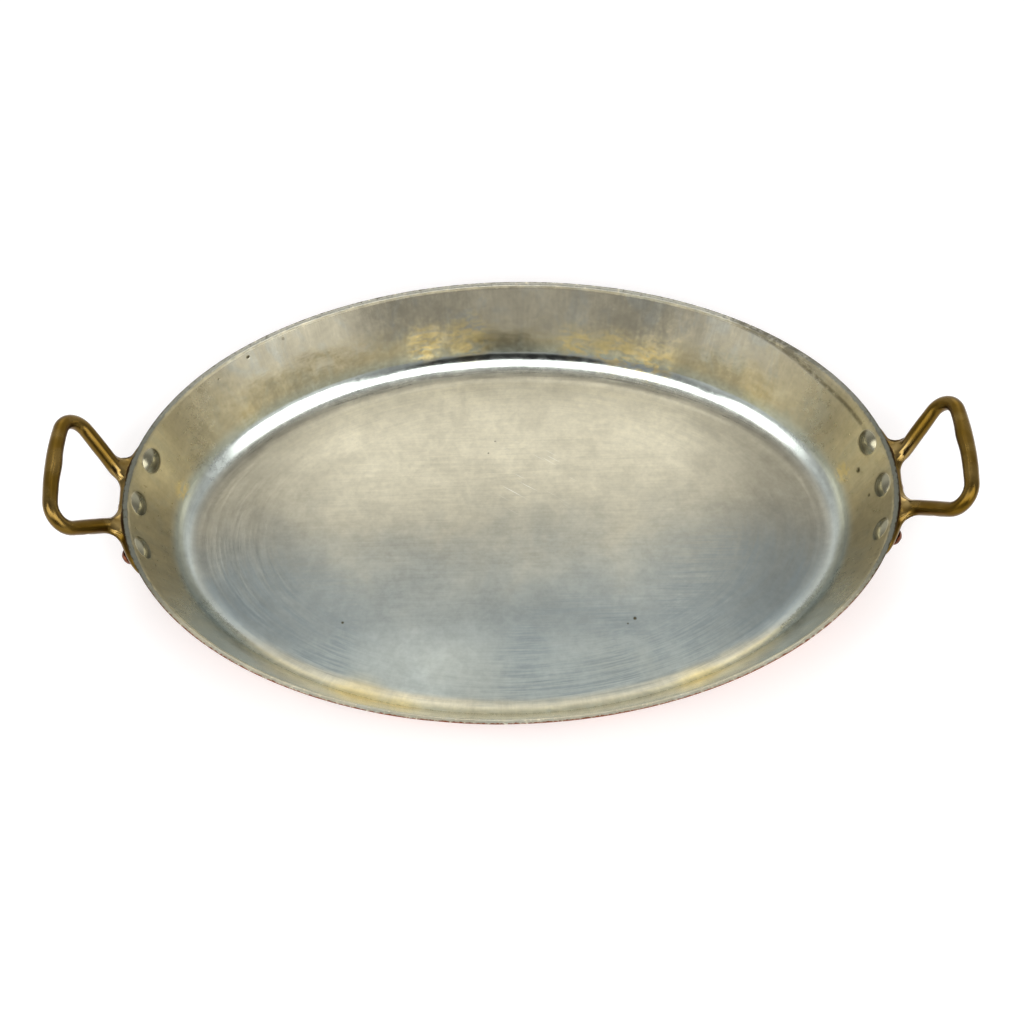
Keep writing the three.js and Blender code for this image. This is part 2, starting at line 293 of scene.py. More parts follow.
def spin(work, points, steps):
    """Turns points given as radius and height about +Z, into a closed skin, and gives its points."""
    before = set(work.verts)
    line = [work.verts.new((radius, 0, height)) for radius, height in points]
    edges = [work.edges.new(pair) for pair in zip(line, line[1:])]
    whole_turn(work, line + edges, steps)
    fresh = [vert for vert in work.verts if vert not in before]
    bmesh.ops.remove_doubles(work, verts=fresh, dist=CLOSE)
    return [vert for vert in work.verts if vert not in before]


def draw_through(work, rings):
    """Draws a ring of edges, extrudes it through the rings that follow, and closes both ends."""
    spoke = work.verts.layers.int.get("spoke") or work.verts.layers.int.new("spoke")
    made = bmesh.ops.create_circle(work, cap_ends=True, radius=1, segments=len(rings[0]))["verts"]
    for i, vert in enumerate(made):
        vert[spoke] = i
        vert.co = rings[0][i]
    edges = list({edge for vert in made for edge in vert.link_edges})
    for ring in rings[1:]:
        pulled = bmesh.ops.extrude_edge_only(work, edges=edges)["geom"]
        edges = [item for item in pulled if isinstance(item, bmesh.types.BMEdge)]
        for vert in pulled:
            if isinstance(vert, bmesh.types.BMVert):
                vert.co = ring[vert[spoke]]
    bmesh.ops.contextual_create(work, geom=edges)


def rounded(first, corner, last, steps):
    """Points of a soft corner between two points in a section."""
    points = []
    for i in range(steps + 1):
        t = i / steps
        share = ((1 - t) ** 2, 2 * t * (1 - t), t ** 2)
        points.append(tuple(sum(s * p[k] for s, p in zip(share, (first, corner, last))) for k in (0, 1)))
    return points


def hammered(wall, point):
    """How far the sheet lies inside its true shape, in broad waves and finer ones."""
    broad = noise.noise(point / (46 * MM))
    fine = noise.noise(point / (15 * MM) + Vector((7, 3, 1)))
    dents = noise.noise(point / (8 * MM) + Vector((2, 9, 4)))
    return wall.waviness * (1 + broad + 0.45 * fine + 0.2 * dents)


def raise_oval(work, wall, rows, lip_row, steps):
    """Spins a closed section round and stretches it to the oval.

    A row is the inset from the lip, the height, and the lean of the sheet there from level. Two
    attributes are kept for the finishes, in metres: "wipe" holds the place and the distance out from the
    middle along the section, and "around" the nearest point of the lip and the distance down from it.
    """
    nick_depth, nick_size, nicked_height = 0.07 * MM, 5 * MM, 2.5 * MM
    run = [0]
    for (x0, z0, _), (x1, z1, _) in zip(rows, rows[1:]):
        run.append(run[-1] + math.hypot(x1 - x0, z1 - z0))
    lean_layer = work.verts.layers.float.new("lean")
    run_layer = work.verts.layers.float.new("run")
    wipe = work.verts.layers.float_vector.new("wipe")
    around = work.verts.layers.float_vector.new("around")
    line = []
    for (inset, height, lean), so_far in zip(rows, run):
        vert = work.verts.new((wall.b - inset, 0, height))
        vert[lean_layer] = lean
        vert[run_layer] = so_far
        line.append(vert)
    edges = [work.edges.new(pair) for pair in zip(line, line[1:])]
    whole_turn(work, line + edges, steps)
    bmesh.ops.remove_doubles(work, verts=work.verts[:], dist=CLOSE)
    for vert in work.verts:
        turn = math.atan2(vert.co.y, vert.co.x)
        inset = wall.b - math.hypot(vert.co.x, vert.co.y)
        point = wall.place(turn, inset, vert.co.z)
        lip = wall.place(turn, 0, wall.top)
        so_far = vert[run_layer]
        vert[wipe] = Vector((point.x, point.y, so_far))
        vert[around] = Vector((lip.x, lip.y, run[lip_row] - so_far))
        lean = vert[lean_layer]
        square = UP * math.cos(lean) - wall.outwards(turn) * math.sin(lean)
        nicked = 1 - smoothstep(0, nicked_height, wall.top - point.z)
        nick = nick_depth * nicked * (noise.noise(point / nick_size) - 1)
        vert.co = point + square * hammered(wall, point) + UP * nick
    bmesh.ops.recalc_face_normals(work, faces=work.faces[:])


# Materials

# Kinds of node that are used often: the name and the settings that set it apart
RANGE = ("ShaderNodeMapRange", {"interpolation_type": "SMOOTHSTEP"})
PLUS = ("ShaderNodeMath", {"operation": "ADD"})
PLUS_TO_ONE = ("ShaderNodeMath", {"operation": "ADD", "use_clamp": True})
MINUS = ("ShaderNodeMath", {"operation": "SUBTRACT"})
TIMES = ("ShaderNodeMath", {"operation": "MULTIPLY"})
TIMES_PLUS = ("ShaderNodeMath", {"operation": "MULTIPLY_ADD"})
MOST = ("ShaderNodeMath", {"operation": "MAXIMUM"})
SIZE = ("ShaderNodeMath", {"operation": "ABSOLUTE"})
EACH_TIMES_PLUS = ("ShaderNodeVectorMath", {"operation": "MULTIPLY_ADD"})
MIX = "ShaderNodeMix"
BLEND = ("ShaderNodeMix", {"data_type": "RGBA"})
SHADE = ("ShaderNodeMix", {"data_type": "RGBA", "blend_type": "MULTIPLY"})
AXES = "ShaderNodeSeparateXYZ"
# Places of the Mix node's factor, its two colours and the mixed colour
FACTOR, UNDER, ABOVE, MIXED = 0, 6, 7, 2


def adder(tree):
    """The function that adds a node to this tree."""

    def add(kind, inputs=(), out=0):
        """Adds a node with its settings, sets or links its inputs by place or name, and gives one output."""
        name, settings = (kind, {}) if isinstance(kind, str) else kind
        node = tree.nodes.new(name)
        for setting, value in settings.items():
            setattr(node, setting, value)
        for socket, value in inputs.items() if isinstance(inputs, dict) else enumerate(inputs):
            if isinstance(value, bpy.types.NodeSocket):
                tree.links.new(value, node.inputs[socket])
            else:
                node.inputs[socket].default_value = value
        return node.outputs[out] if node.outputs else node

    return add


def new_finish(name):
    """An empty material and the function that adds its nodes."""
    finish = bpy.data.materials.new(name)
    finish.use_nodes = True
    finish.node_tree.nodes.clear()
    return finish, adder(finish.node_tree)


def places(add, *attributes):
    """The place on the object and these attributes, in millimetres, as all lengths in the finishes are."""
    vectors = [add("ShaderNodeTexCoord", out="Object")]
    for name in attributes:
        vectors.append(add(("ShaderNodeAttribute", {"attribute_name": name}), out="Vector"))
    return [add(EACH_TIMES_PLUS, [vector, (1 / MM,) * 3, (0, 0, 0)]) for vector in vectors]


def marks(add, place, size, detail=3.0, roughness=0.55, distortion=0.0, offset=(0, 0, 0)):
    """Irregular marks of this size, alike in all directions or given along x, y and z."""
    sizes = size if isinstance(size, tuple) else (size,) * 3
    scaled = add(EACH_TIMES_PLUS, [place, [1 / s for s in sizes], offset])
    return add("ShaderNodeTexNoise", {
        "Vector": scaled, "Scale": 1.0, "Detail": detail, "Roughness": roughness, "Distortion": distortion})


def spots(add, place, patches):
    """1 at the centre of each patch, falling to 0 at its radius."""
    strongest = 0.0
    for centre, radius in patches:
        away = add(("ShaderNodeVectorMath", {"operation": "DISTANCE"}), [place, centre], "Value")
        spot = add(RANGE, [away, 0.3 * radius, radius, 1.0, 0.0])
        strongest = add(MOST, [strongest, spot])
    return strongest


def metal(add, tone, rough, *bumps):
    """Ends a metal: its colour, its roughness, and bumps given as a height, a depth and whether they sink."""
    shape = {}
    for height, depth, *sunk in bumps:
        bump = ("ShaderNodeBump", {"invert": bool(sunk)})
        shape = {"Normal": add(bump, {"Height": height, "Strength": 1.0, "Distance": depth * MM, **shape})}
    surface = add("ShaderNodeBsdfPrincipled", {
        "Base Color": tone, "Metallic": 1.0, "Roughness": rough, **shape})
    add("ShaderNodeOutputMaterial", {"Surface": surface})


# Where the floor is scoured dark and where it stays light: centre and radius
DARK_PATCHES = (((-135, -58, 2), 75), ((30, -95, 2), 75), ((125, -45, 2), 70))
LIGHT_PATCHES = (((-42, -62, 2), 60), ((-20, 55, 2), 75), ((75, 60, 2), 60))
# Painted gold glints: reflections painted in gold on the foot of the wall
PAINTED_GOLD_GLINTS = (((-46, 117, 21), 17), ((-22, 121, 21), 20), ((40, 118, 18), 15), ((62, 112, 15.5), 19),
                ((84, 104, 13.5), 17), ((-84, -104, 12), 24), ((-62, -110, 12), 17), ((98, -99, 12), 20),
                ((-182, 24, 15), 8), ((184, 23, 18), 8))
# Pits and specks in the tin
PITS = (((-145, 93, 44), 1.4), ((-126, 105, 44.3), 1.2), ((-161, 79.6, 42.3), 0.8), ((193.5, 0.3, 29.8), 1.5),
        ((190, 18, 27.4), 2.2), ((-92, -55, 2.4), 1.1), ((65, -57, 2.4), 1.4), ((61, -60, 2.4), 0.8),
        ((-8, 60, 2.4), 0.8), ((-12, 52, 2.4), 0.7))
# Bright scuffs on the floor and one scratch up the back of the wall
SCUFFED = (((14, 36, 2), 34), ((-7, 134, 43), 9))


def wiped_tin():
    """Tin wiped molten over copper with a rag, on a pan that has been cooked in for decades.

    It gives a satin grey mirror with fine wiping marks. A yellow film covers the wall and the back of
    the floor, the corner and the front are scoured clean and cooler, and the lip is rubbed dull."""
    colours = bpy.context.scene.pan_finish
    finish, add = new_finish("wiped_tin")
    place, wipe, around = places(add, "wipe", "around")
    head = add(("ShaderNodeAttribute", {"attribute_name": "head"}), out="Fac")
    x, y, height = add(AXES, [place]).node.outputs
    run = add(AXES, [wipe], "Z")
    down = add(AXES, [around], "Z")

    # Wiping marks: straight across the middle of the floor, round along its edge
    inside = add(RANGE, [run, 58, 94, 1.0, 0.0])
    fine_round = marks(add, wipe, (26, 26, 0.9), 4, 0.6)
    fine_level = marks(add, place, (26, 0.9, 26), 4, 0.6, 0.3)
    fine = add(MIX, {0: inside, 2: fine_round, 3: fine_level})
    rag_round = marks(add, wipe, (45, 45, 3), 4, 0.65, 0.2, (3, 1, 7))
    rag_level = marks(add, place, (48, 3, 48), 4, 0.65, 0.5, (3, 1, 7))
    rag = add(MIX, {0: inside, 2: rag_round, 3: rag_level})
    # On the wall: scouring up and down it, and mottling
    upright = marks(add, around, (1.1, 1.1, 30), 3, 0.6)
    smears = marks(add, around, (9, 9, 30), 3, 0.6, 0.4, (0, 4, 0))
    clouds = marks(add, place, 38, 4, 0.6, 0.5)
    blotches = marks(add, place, 13, 4, 0.6, 0.6, (8, 2, 5))
    mottle = marks(add, place, 4, 5, 0.7)

    # Where the floor ends, where the wall's film begins, and how far the warmer, paler tone of the back of
    # the floor comes forward
    floor = add(RANGE, [height, 2.7, 6, 1.0, 0.0])
    before = add(RANGE, [y, -50, -85])
    film_behind = add(RANGE, [height, 11, 19])
    film_before = add(RANGE, [height, 2.4, 3.4])
    wall = add(MIX, {0: before, 2: film_behind, 3: film_before})
    drifting = add(PLUS, [y, add(TIMES_PLUS, [clouds, 70, -35])])
    warmer_floor = add(TIMES, [floor, add(RANGE, [drifting, -70, 35])])
    thin = marks(add, around, (15, 15, 24), 4, 0.6, 0.8, (5, 5, 1))
    film = add(TIMES, [wall, add(RANGE, [thin, 0.45, 0.7, 1.0, 0.6])])
    # Painted highlight: a paler stripe along the foot of the front wall
    foot = add(TIMES, [add(RANGE, [height, 9, 5]), wall])
    foot = add(TIMES, [foot, before])
    # Painted gold glints, whole on the front wall and broken elsewhere, and a faint gold on both ends
    broken = marks(add, around, (9, 9, 3.2), 3, 0.6, 0.6, (1, 8, 2))
    broken = add(RANGE, [broken, 0.38, 0.6, 0.0, 0.85])
    broken = add(MOST, [broken, add(TIMES, [before, 0.8])])
    gold = add(TIMES, [spots(add, place, PAINTED_GOLD_GLINTS), broken])
    sideways = add(SIZE, [x])
    ends = add(TIMES, [add(RANGE, [sideways, 150, 195]), wall])
    gold = add(TIMES_PLUS, [ends, 0.38, gold])
    tone = colours.tin
    for factor, above in (
        (warmer_floor, colours.tin_floor), (film, colours.tin_film), (foot, colours.tin_floor),
        (gold, colours.tin_gold),
    ):
        tone = add(BLEND, {FACTOR: factor, UNDER: tone, ABOVE: above}, MIXED)

    # Shade of the marks on the floor and on the wall
    shades = []
    for pair in (
        ((fine, 0.965, 1.03), (rag, 0.95, 1.04)),
        ((upright, 0.965, 1.025), (smears, 0.92, 1.04)),
    ):
        shades.append(add(TIMES, [add(RANGE, [mark, 0.3, 0.7, *levels]) for mark, *levels in pair]))
    shade = add(MIX, {0: wall, 2: shades[0], 3: shades[1]})
    # Painted shade: the middle of the floor is painted darker than its back, less so at its front, and its
    # two ends and both end walls darker too
    painted_shade_middle = add(RANGE, [y, 68, -12, 1.0, 0.63])
    front_less_shaded = add(RANGE, [y, -50, -80, 0.0, 0.25])
    painted_shade_ends = add(RANGE, [sideways, 85, 150, 1.0, 0.6])
    level = add(TIMES, [add(PLUS, [painted_shade_middle, front_less_shaded]), painted_shade_ends])
    factors = [add(MIX, {0: floor, 2: 1.0, 3: level}), add(TIMES_PLUS, [ends, -0.33, 1.0])]
    for mark, *levels in ((mottle, 0.92, 1.05), (blotches, 0.94, 1.05), (clouds, 0.93, 1.06)):
        factors.append(add(RANGE, [mark, 0.3, 0.7, *levels]))
    for factor in factors:
        shade = add(TIMES, [shade, factor])
    tone = add(SHADE, {FACTOR: 1.0, UNDER: tone, ABOVE: shade}, MIXED)

    # Blue-grey rag marks on the front of the floor, in patches
    dark = spots(add, place, DARK_PATCHES)
    for patch in LIGHT_PATCHES:
        dark = add(MINUS, [dark, add(TIMES, [spots(add, place, [patch]), 0.35])])
    worn = add(PLUS_TO_ONE, [dark, add(RANGE, [drifting, -75, 15, 0.5, 0.0])])
    patchy = add(RANGE, [clouds, 0.35, 0.6, 0.5, 1.0])
    streaks = add(RANGE, [add(PLUS, [rag, fine]), 0.8, 1.2, 0.34, 0.66])
    for part in (patchy, streaks, floor):
        worn = add(TIMES, [worn, part])

    turned = add(("ShaderNodeVectorRotate", {"rotation_type": "Z_AXIS"}), {"Vector": place, "Angle": 0.6})
    scuffs = marks(add, turned, (22, 0.7, 22), 2, 0.5)
    scuffs = add(RANGE, [scuffs, 0.66, 0.74, 0.0, 0.7])
    scuffs = add(TIMES, [scuffs, spots(add, place, SCUFFED)])

    # The lip: dull, pale behind, nicked, with painted glints on the nicks behind and in front, pitted, and
    # with bare copper along its outer edge in front
    ragged = add(TIMES_PLUS, [mottle, 2.0, down])
    lip = add(RANGE, [ragged, 0.9, 2.1, 1.0, 0.0])
    facing = add(RANGE, [y, -40, -90])
    behind = add(RANGE, [y, 20, 110, 0.0, 0.85])
    nicks = marks(add, around, (2.2, 2.2, 2), 4, 0.65, 0.0, (1, 2, 3))
    # Painted glints: the nicks behind and in front are painted bright
    bright = add(TIMES, [add(RANGE, [nicks, 0.55, 0.7]), add(MOST, [behind, facing])])
    pitted = add(RANGE, [nicks, 0.3, 0.45, 0.5, 0.0])
    lip_tone = colours.tin_lip
    for factor, above in (
        (behind, colours.tin_pale_and_glint), (bright, colours.tin_film), (pitted, colours.tin_stain)
    ):
        lip_tone = add(BLEND, {FACTOR: factor, UNDER: lip_tone, ABOVE: above}, MIXED)
    dull_lip = add(TIMES, [add(TIMES_PLUS, [facing, -0.6, 1.0]), lip])
    nibbled = add(TIMES_PLUS, [nicks, 2.6, down])
    edge = add(RANGE, [nibbled, -0.9, -0.3, 1.0, 0.0])
    # The bare edge carries the painted glints too
    bare = colours.tin_stain
    for factor, above in ((facing, colours.copper_dull), (bright, colours.tin_pale_and_glint)):
        bare = add(BLEND, {FACTOR: factor, UNDER: bare, ABOVE: above}, MIXED)

    # Tide mark that leaves the lip at the back right and runs down towards the rivets
    past = add(MINUS, [down, add(RANGE, [y, 108, 60, 0.6, 6.4])])
    tide = add(RANGE, [add(SIZE, [past]), 0.3, 2.2, 0.7, 0.0])
    within = add(RANGE, [past, -1.0, 0.2, 1.0, 0.0])
    within = add(TIMES, [within, add(RANGE, [y, 58, 88, 0.0, 0.75])])
    tide = add(MOST, [tide, within])
    for part in ([x, 124, 134], [y, 24, 44], [mottle, 0.35, 0.55, 0.25, 0.95]):
        tide = add(TIMES, [tide, add(RANGE, part)])
    pits = add(TIMES, [spots(add, place, PITS), add(RANGE, [mottle, 0.35, 0.6, 0.35, 1.0])])
    stained = add(MOST, [tide, pits])
    for factor, above in (
        (worn, colours.tin_streak), (scuffs, colours.tin_scuff), (add(TIMES, [head, 0.8]), colours.tin_head),
        (dull_lip, lip_tone), (edge, bare), (stained, colours.tin_stain),
    ):
        tone = add(BLEND, {FACTOR: factor, UNDER: tone, ABOVE: above}, MIXED)

    # Rougher on the floor, on the end walls save over the rivet heads, low in front and on the lip
    rough = add(RANGE, [mottle, 0.3, 0.7, 0.07, 0.14])
    duller = add(RANGE, [sideways, 130, 185, 0.0, 0.2])
    duller = add(TIMES, [duller, add(TIMES_PLUS, [head, -0.7, 1.0])])
    for part in (duller, add(RANGE, [height, 8, 15, 0.04, 0.0])):
        rough = add(PLUS, [rough, part])
    rough = add(MIX, {0: floor, 2: rough, 3: add(RANGE, [fine, 0.3, 0.7, 0.28, 0.4])})
    rough = add(TIMES_PLUS, [add(RANGE, [height, 6, 13, 0.24, 0.0]), before, rough])
    rough = add(PLUS, [add(RANGE, [down, 1.2, 2.6, 0.3, 0.0]), rough])
    rough = add(TIMES_PLUS, [head, 0.06, rough])
    dents = marks(add, place, 24, 2, 0.5, 0.0, (2, 7, 5))
    ripples = marks(add, place, 9, 2, 0.55, 0.0, (6, 1, 1))
    knocks = add(TIMES, [nicks, lip])
    metal(add, tone, rough, (dents, 0.13), (ripples, 0.035), (mottle, 0.012), (fine, 0.005),
          (stained, 0.1, "sunk"), (knocks, 0.25))
    return finish


def old_copper():
    """Copper scoured bright many times and browned again: pinkish metal, brown clouds and scour marks."""
    colours = bpy.context.scene.pan_finish
    finish, add = new_finish("old_copper")
    place, wipe, around = places(add, "wipe", "around")
    scour = marks(add, wipe, (30, 30, 1.2), 4, 0.65)
    browned = add(RANGE, [marks(add, place, 35, 5, 0.6, 0.6), 0.38, 0.7, 0.0, 0.8])
    by_lip = add(RANGE, [add(AXES, [around], "Z"), -9, -3])
    knocks = marks(add, around, (3, 3, 2), 4, 0.65)
    by_lip = add(TIMES, [by_lip, add(RANGE, [knocks, 0.42, 0.56])])
    tone = colours.copper
    for factor, above in ((browned, colours.copper_dull), (by_lip, colours.copper_dark)):
        tone = add(BLEND, {FACTOR: factor, UNDER: tone, ABOVE: above}, MIXED)
    scoured = add(RANGE, [scour, 0.3, 0.7, 0.9, 1.05])
    tone = add(SHADE, {FACTOR: 1.0, UNDER: tone, ABOVE: scoured}, MIXED)
    rough = add(RANGE, [scour, 0.3, 0.7, 0.24, 0.4])
    metal(add, tone, rough, (scour, 0.008))
    return finish


def rivet_copper():
    """Copper rivets, hammered and never scoured: dark red-brown, bright only where they are rubbed."""
    colours = bpy.context.scene.pan_finish
    finish, add = new_finish("rivet_copper")
    [place] = places(add)
    clouds = marks(add, place, 4, 4, 0.6)
    rubbed = add(RANGE, [clouds, 0.4, 0.75, 0.0, 0.3])
    tone = add(BLEND, {FACTOR: rubbed, UNDER: colours.copper_dark, ABOVE: colours.copper}, MIXED)
    rough = add(RANGE, [clouds, 0.3, 0.7, 0.26, 0.16])
    metal(add, tone, rough, (clouds, 0.05))
    return finish


def cast_brass():
    """Sand-cast brass, filed smooth and darkened by age: an olive brown film, bright where hands rub it and
    as a painted highlight on the up-facing roots, and near black with red rust, green verdigris and painted
    shade against the wall."""
    colours = bpy.context.scene.pan_finish
    finish, add = new_finish("cast_brass")
    [place] = places(add)
    grime = add(("ShaderNodeAttribute", {"attribute_name": "grime"}), out="Fac")
    polish = add(("ShaderNodeAttribute", {"attribute_name": "polish"}), out="Fac")
    clouds = marks(add, place, 16, 3, 0.5, 0.3)
    specks = marks(add, place, 1.8, 3, 0.6, 0.0, (4, 9, 2))
    # Bright brass where rubbed, and as a painted highlight on the up-facing shoulders of the roots
    rubbed = add(TIMES, [add(RANGE, [clouds, 0.35, 0.7, 0.1, 0.75]), polish])
    # Dirt and rust together with painted shade in the hollows and the gap at the wall
    dirt_and_shade = add(RANGE, [add(TIMES_PLUS, [specks, 0.5, grime]), 0.6, 1.05])
    green = add(TIMES, [add(RANGE, [specks, 0.62, 0.7]), add(RANGE, [grime, 0.25, 0.6])])
    tone = colours.brass_film
    for factor, above in ((rubbed, colours.brass), (dirt_and_shade, colours.brass_grime_and_shade), (green, colours.verdigris)):
        tone = add(BLEND, {FACTOR: factor, UNDER: tone, ABOVE: above}, MIXED)
    rough = add(RANGE, [rubbed, 0.0, 0.3, 0.3, 0.14])
    rough = add(TIMES_PLUS, [dirt_and_shade, 0.3, rough])
    ripples = marks(add, place, 5, 1.5, 0.5)
    metal(add, tone, rough, (ripples, 0.05), (add(TIMES, [specks, dirt_and_shade]), 0.15))
    return finish


# Pieces

def lip_rows(wall, depth, outer_depth, top, inner_wear, outer_wear):
    """The rows of a lip, from just under its inner edge over to just under its outer one."""
    lean = math.pi / 2 - wall.flare
    inner = (wall.inset(top, depth), top)
    outer = (wall.inset(top, outer_depth), top)
    low = top - inner_wear
    rows = rounded((wall.inset(low, depth), low), inner, (inner[0] - inner_wear, top), 5)
    low = top - outer_wear
    rows += rounded((outer[0] + outer_wear, top), outer, (wall.inset(low, outer_depth), low), 5)
    return [(inset, height, lean) for inset, height in rows]


def copper_body():
    wall = Wall()
    shape = bpy.context.scene.pan_shape
    top = wall.top - shape.tin_gauge - shape.bond
    rim = shape.lip_rounding
    rows = wall.section(shape.copper_gauge, 10, 8, 8, top - rim)
    lip_row = len(rows) + 3
    rows += lip_rows(wall, shape.copper_gauge, 0, top, rim / 2, rim / 2)
    rows += reversed(wall.section(0, 26, 12, 16, top - rim))
    work = bmesh.new()
    raise_oval(work, wall, rows, lip_row, 320)
    piece = shown("copper_body_raised", work, old_copper())
    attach(piece, "root")
    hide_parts("copper_body")


def tin_lining():
    wall = Wall()
    shape = bpy.context.scene.pan_shape
    back = wall.gauge - shape.tin_gauge
    rows = wall.section(wall.gauge, 34, 18, 26, wall.top - 1.2 * shape.lip_wear)
    lip_row = len(rows) + 3
    rows += lip_rows(wall, wall.gauge, 0, wall.top, shape.lip_wear, shape.lip_rounding)
    skirt = wall.top - shape.lip_rounding - shape.tin_gauge / 2
    lean = math.pi / 2 - wall.flare
    rows.append((wall.inset(skirt, shape.tin_gauge), skirt, lean))
    rows.append((wall.inset(skirt, back), skirt, lean))
    rows += reversed(wall.section(back, 10, 8, 8, skirt - shape.tin_gauge))
    work = bmesh.new()
    raise_oval(work, wall, rows, lip_row, 420)
    cover_rivet_heads(work, wall)
    piece = shown("tin_lining_wiped", work, wiped_tin())
    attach(piece, "root")
    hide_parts("tin_lining")


def cover_rivet_heads(work, wall):
    """Tin wiped over the inner rivet heads: low domes whose edges run out into the wall."""
    rivet = bpy.context.scene.pan_rivet
    shape = bpy.context.scene.pan_shape
    skin = shape.tin_gauge + shape.bond
    radius = rivet.head / 2 + skin
    heap, fillet = 0.13 * MM, 0.7 * MM
    wider, lower = 1.025, 0.93
    rings = 12
    top = rivet.head_height + skin + heap
    sunk = -0.5 * shape.tin_gauge
    ball = (radius ** 2 + top ** 2) / (2 * top)
    line = [(0, top)]
    for i in range(1, rings + 1):
        r = (radius - 0.25 * fillet) * math.sin(i / rings * math.pi / 2)
        line.append((r, math.sqrt(ball ** 2 - r ** 2) - ball + top))
    edge, edge_height = line[-1]
    outside = edge + 1.6 * fillet
    line += rounded((edge, edge_height), (edge + 0.55 * fillet, 0.02 * MM), (outside, -0.01 * MM), 5)[1:]
    line.append((outside, sunk))
    line.append((0, sunk))
    wipe = work.verts.layers.float_vector["wipe"]
    around = work.verts.layers.float_vector["around"]
    head = work.verts.layers.float.new("head")
    steepest = math.pi / 2 - wall.flare
    wall_run = wall.b - wall.floor_inset + (wall.corner - wall.gauge) * steepest
    foot = wall.corner - (wall.corner - wall.gauge) * math.cos(steepest)
    for end in (Matrix.Identity(4), HALF_TURN):
        for place in (-rivet.spacing, 0, rivet.spacing):
            for vert in spin(work, line, 56):
                x, y, stand = vert.co
                point = wall.on(place + x * wider, y * lower, -wall.gauge - stand)
                square = -wall.normal(place + x)
                turned = end @ point
                vert[wipe] = Vector((*turned.xy, wall_run + (point.z - foot) / math.cos(wall.flare)))
                vert[around] = Vector((*turned.xy, (wall.top - point.z) / math.cos(wall.flare)))
                vert[head] = smoothstep(0.03 * MM, 0.45 * MM, stand)
                vert.co = turned + (end @ square) * hammered(wall, turned)
    bmesh.ops.recalc_face_normals(work, faces=work.faces[:])


def rivets():
    """All the rivets: a shank between a low head under the tin and a hammered one on the brass."""
    wall = Wall()
    rivet = bpy.context.scene.pan_rivet
    handle = bpy.context.scene.pan_handle
    finish = rivet_copper()
    seat_gap, edge, arcs = 0.1 * MM, 0.1 * MM, 12
    head_seat = -wall.gauge - seat_gap
    set_seat = handle.flange_thickness + 2 * handle.seat
    ball = ((rivet.set_head / 2) ** 2 + rivet.set_head_height ** 2) / (2 * rivet.set_head_height)
    rim = math.acos((ball - rivet.set_head_height) / ball)
    deepest_blow = 0.22 * MM
    for side, end in (("right", Matrix.Identity(4)), ("left", HALF_TURN)):
        for name, place in (("front", -rivet.spacing), ("middle", 0), ("back", rivet.spacing)):
            line = [(0, head_seat - rivet.head_height), (rivet.head / 4, head_seat - 0.8 * rivet.head_height)]
            line += [(rivet.head / 2, head_seat), (rivet.shank / 2, head_seat), (rivet.shank / 2, set_seat)]
            line.append((rivet.set_head / 2 - 0.4 * MM, set_seat))
            for i in range(arcs + 1):
                turn = rim * (1 - i / arcs)
                height = set_seat + edge + rivet.set_head_height - ball * (1 - math.cos(turn))
                line.append((ball * math.sin(turn), height))
            work = bmesh.new()
            spin(work, line, 40)
            bmesh.ops.recalc_face_normals(work, faces=work.faces[:])
            # Hammer blows, one on top and the others round it, each leaving a flat
            middle = set_seat + rivet.set_head_height - ball
            for blow in range(7):
                turn = blow * 2.4 + place / MM
                lean = 0.42 if blow else 0.0
                tilt = math.sin(lean)
                way = Vector((tilt * math.cos(turn), tilt * math.sin(turn), math.cos(lean)))
                limit = middle * way.z + ball - deepest_blow
                for vert in work.verts:
                    over = vert.co.dot(way) - limit
                    if over > 0:
                        vert.co -= way * over * 0.85
            stand = wall.on(place, 0, 0)
            square = UP.rotation_difference(wall.normal(place)).to_matrix().to_4x4()
            bmesh.ops.transform(work, matrix=end @ Matrix.Translation(stand) @ square, verts=work.verts)
            full = name if side == "right" else {"front": "back", "back": "front"}.get(name, name)
            node = f"rivet_{side}_{full}"
            piece = shown(node + "_set", work, finish)
            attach(piece, "root")
            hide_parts(node)


def bent_path(corners, radii, step):
    """Points along straight runs joined by round bends."""
    points = [corners[0].copy()]

    def run_to(end):
        start = points[-1].copy()
        count = math.ceil((end - start).length / step)
        for i in range(1, count + 1):
            points.append(start.lerp(end, i / count))

    for before, corner, after, radius in zip(corners, corners[1:], corners[2:], radii):
        back = (before - corner).normalized()
        on = (after - corner).normalized()
        turn = math.pi - back.angle(on)
        start = corner + back * radius * math.tan(turn / 2)
        run_to(start)
        middle = corner + (back + on).normalized() * radius / math.cos(turn / 2)
        spoke = start - middle
        axis = on.cross(back).normalized()
        count = math.ceil(max(turn * radius / step, math.degrees(turn) / 8))
        for i in range(1, count + 1):
            points.append(middle + Quaternion(axis, turn * i / count) @ spoke)
    run_to(corners[-1])
    return points


def smoothstep(low, high, value):
    share = min(1, max(0, (value - low) / (high - low)))
    return share * share * (3 - 2 * share)


